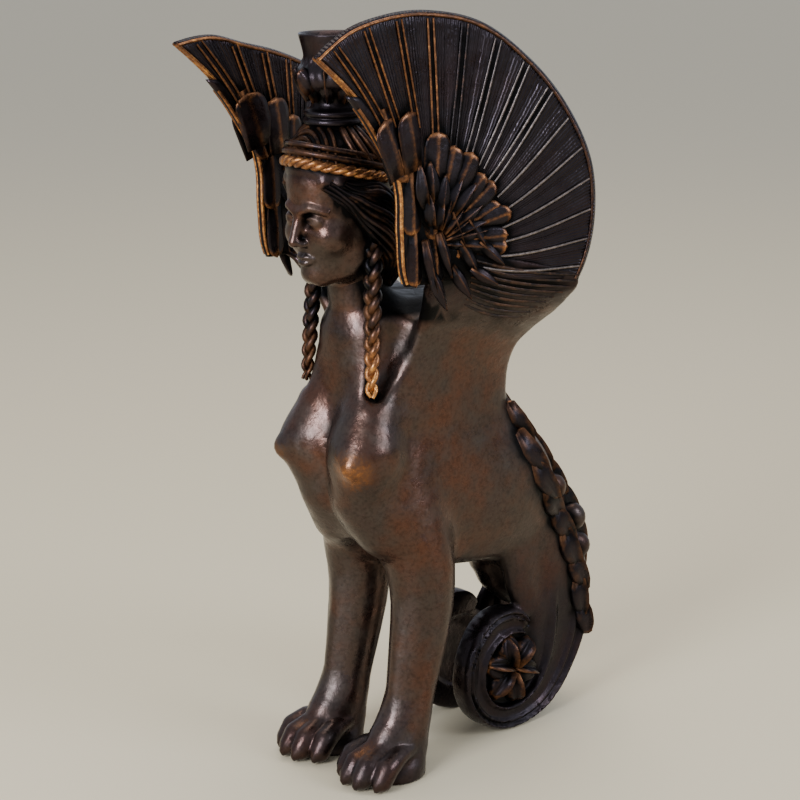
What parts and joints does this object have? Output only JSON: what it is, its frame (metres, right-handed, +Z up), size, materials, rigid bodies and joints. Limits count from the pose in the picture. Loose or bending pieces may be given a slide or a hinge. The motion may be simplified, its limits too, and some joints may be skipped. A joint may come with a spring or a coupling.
{
  "type": "sphinx statue",
  "caption": "Seated winged sphinx in cast bronze, with a tall crown, braids, fan-shaped wings, lion forelegs and scrolled hind legs.",
  "frame": {"origin": "centre of the outer box at the level the paws and scrolls stand on", "axes": "+Z up; the figure faces -Y; +X is the figure's own left"},
  "size_m": [0.1334, 0.1652, 0.2807],
  "materials": {
    "bronze": "dark brown patinated bronze, satin, worn to reddish gold on the raised edges"
  },
  "bodies": {
    "root": {"sphinx": "bronze"}
  },
  "joints": []
}
